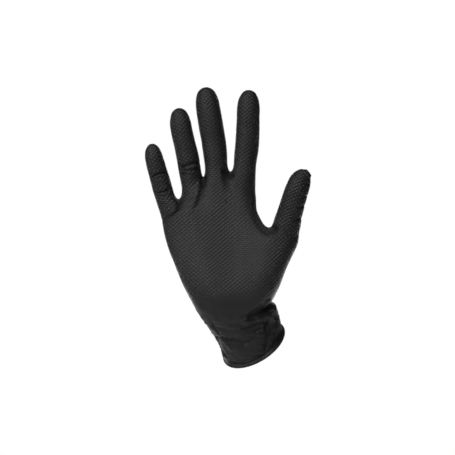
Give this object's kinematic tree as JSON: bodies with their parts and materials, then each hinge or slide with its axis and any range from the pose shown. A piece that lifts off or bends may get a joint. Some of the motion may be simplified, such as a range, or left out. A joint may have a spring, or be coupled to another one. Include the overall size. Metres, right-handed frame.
{
  "type": "nitrile exam glove",
  "caption": "Black nitrile exam glove for a right hand in its worn shape, hollow to the fingertips and open at a rolled cuff.",
  "frame": {"origin": "centre of the cuff's open mouth, where the wrist goes in", "axes": "+Z towards the fingertips, -Y the palm's side that the picture shows, +X the thumb's side"},
  "size_m": [0.1395, 0.0769, 0.2394],
  "materials": {
    "nitrile": "matt black nitrile film, finely textured fingers and palm, smooth cuff"
  },
  "bodies": {
    "root": {"glove": "nitrile"}
  },
  "joints": []
}
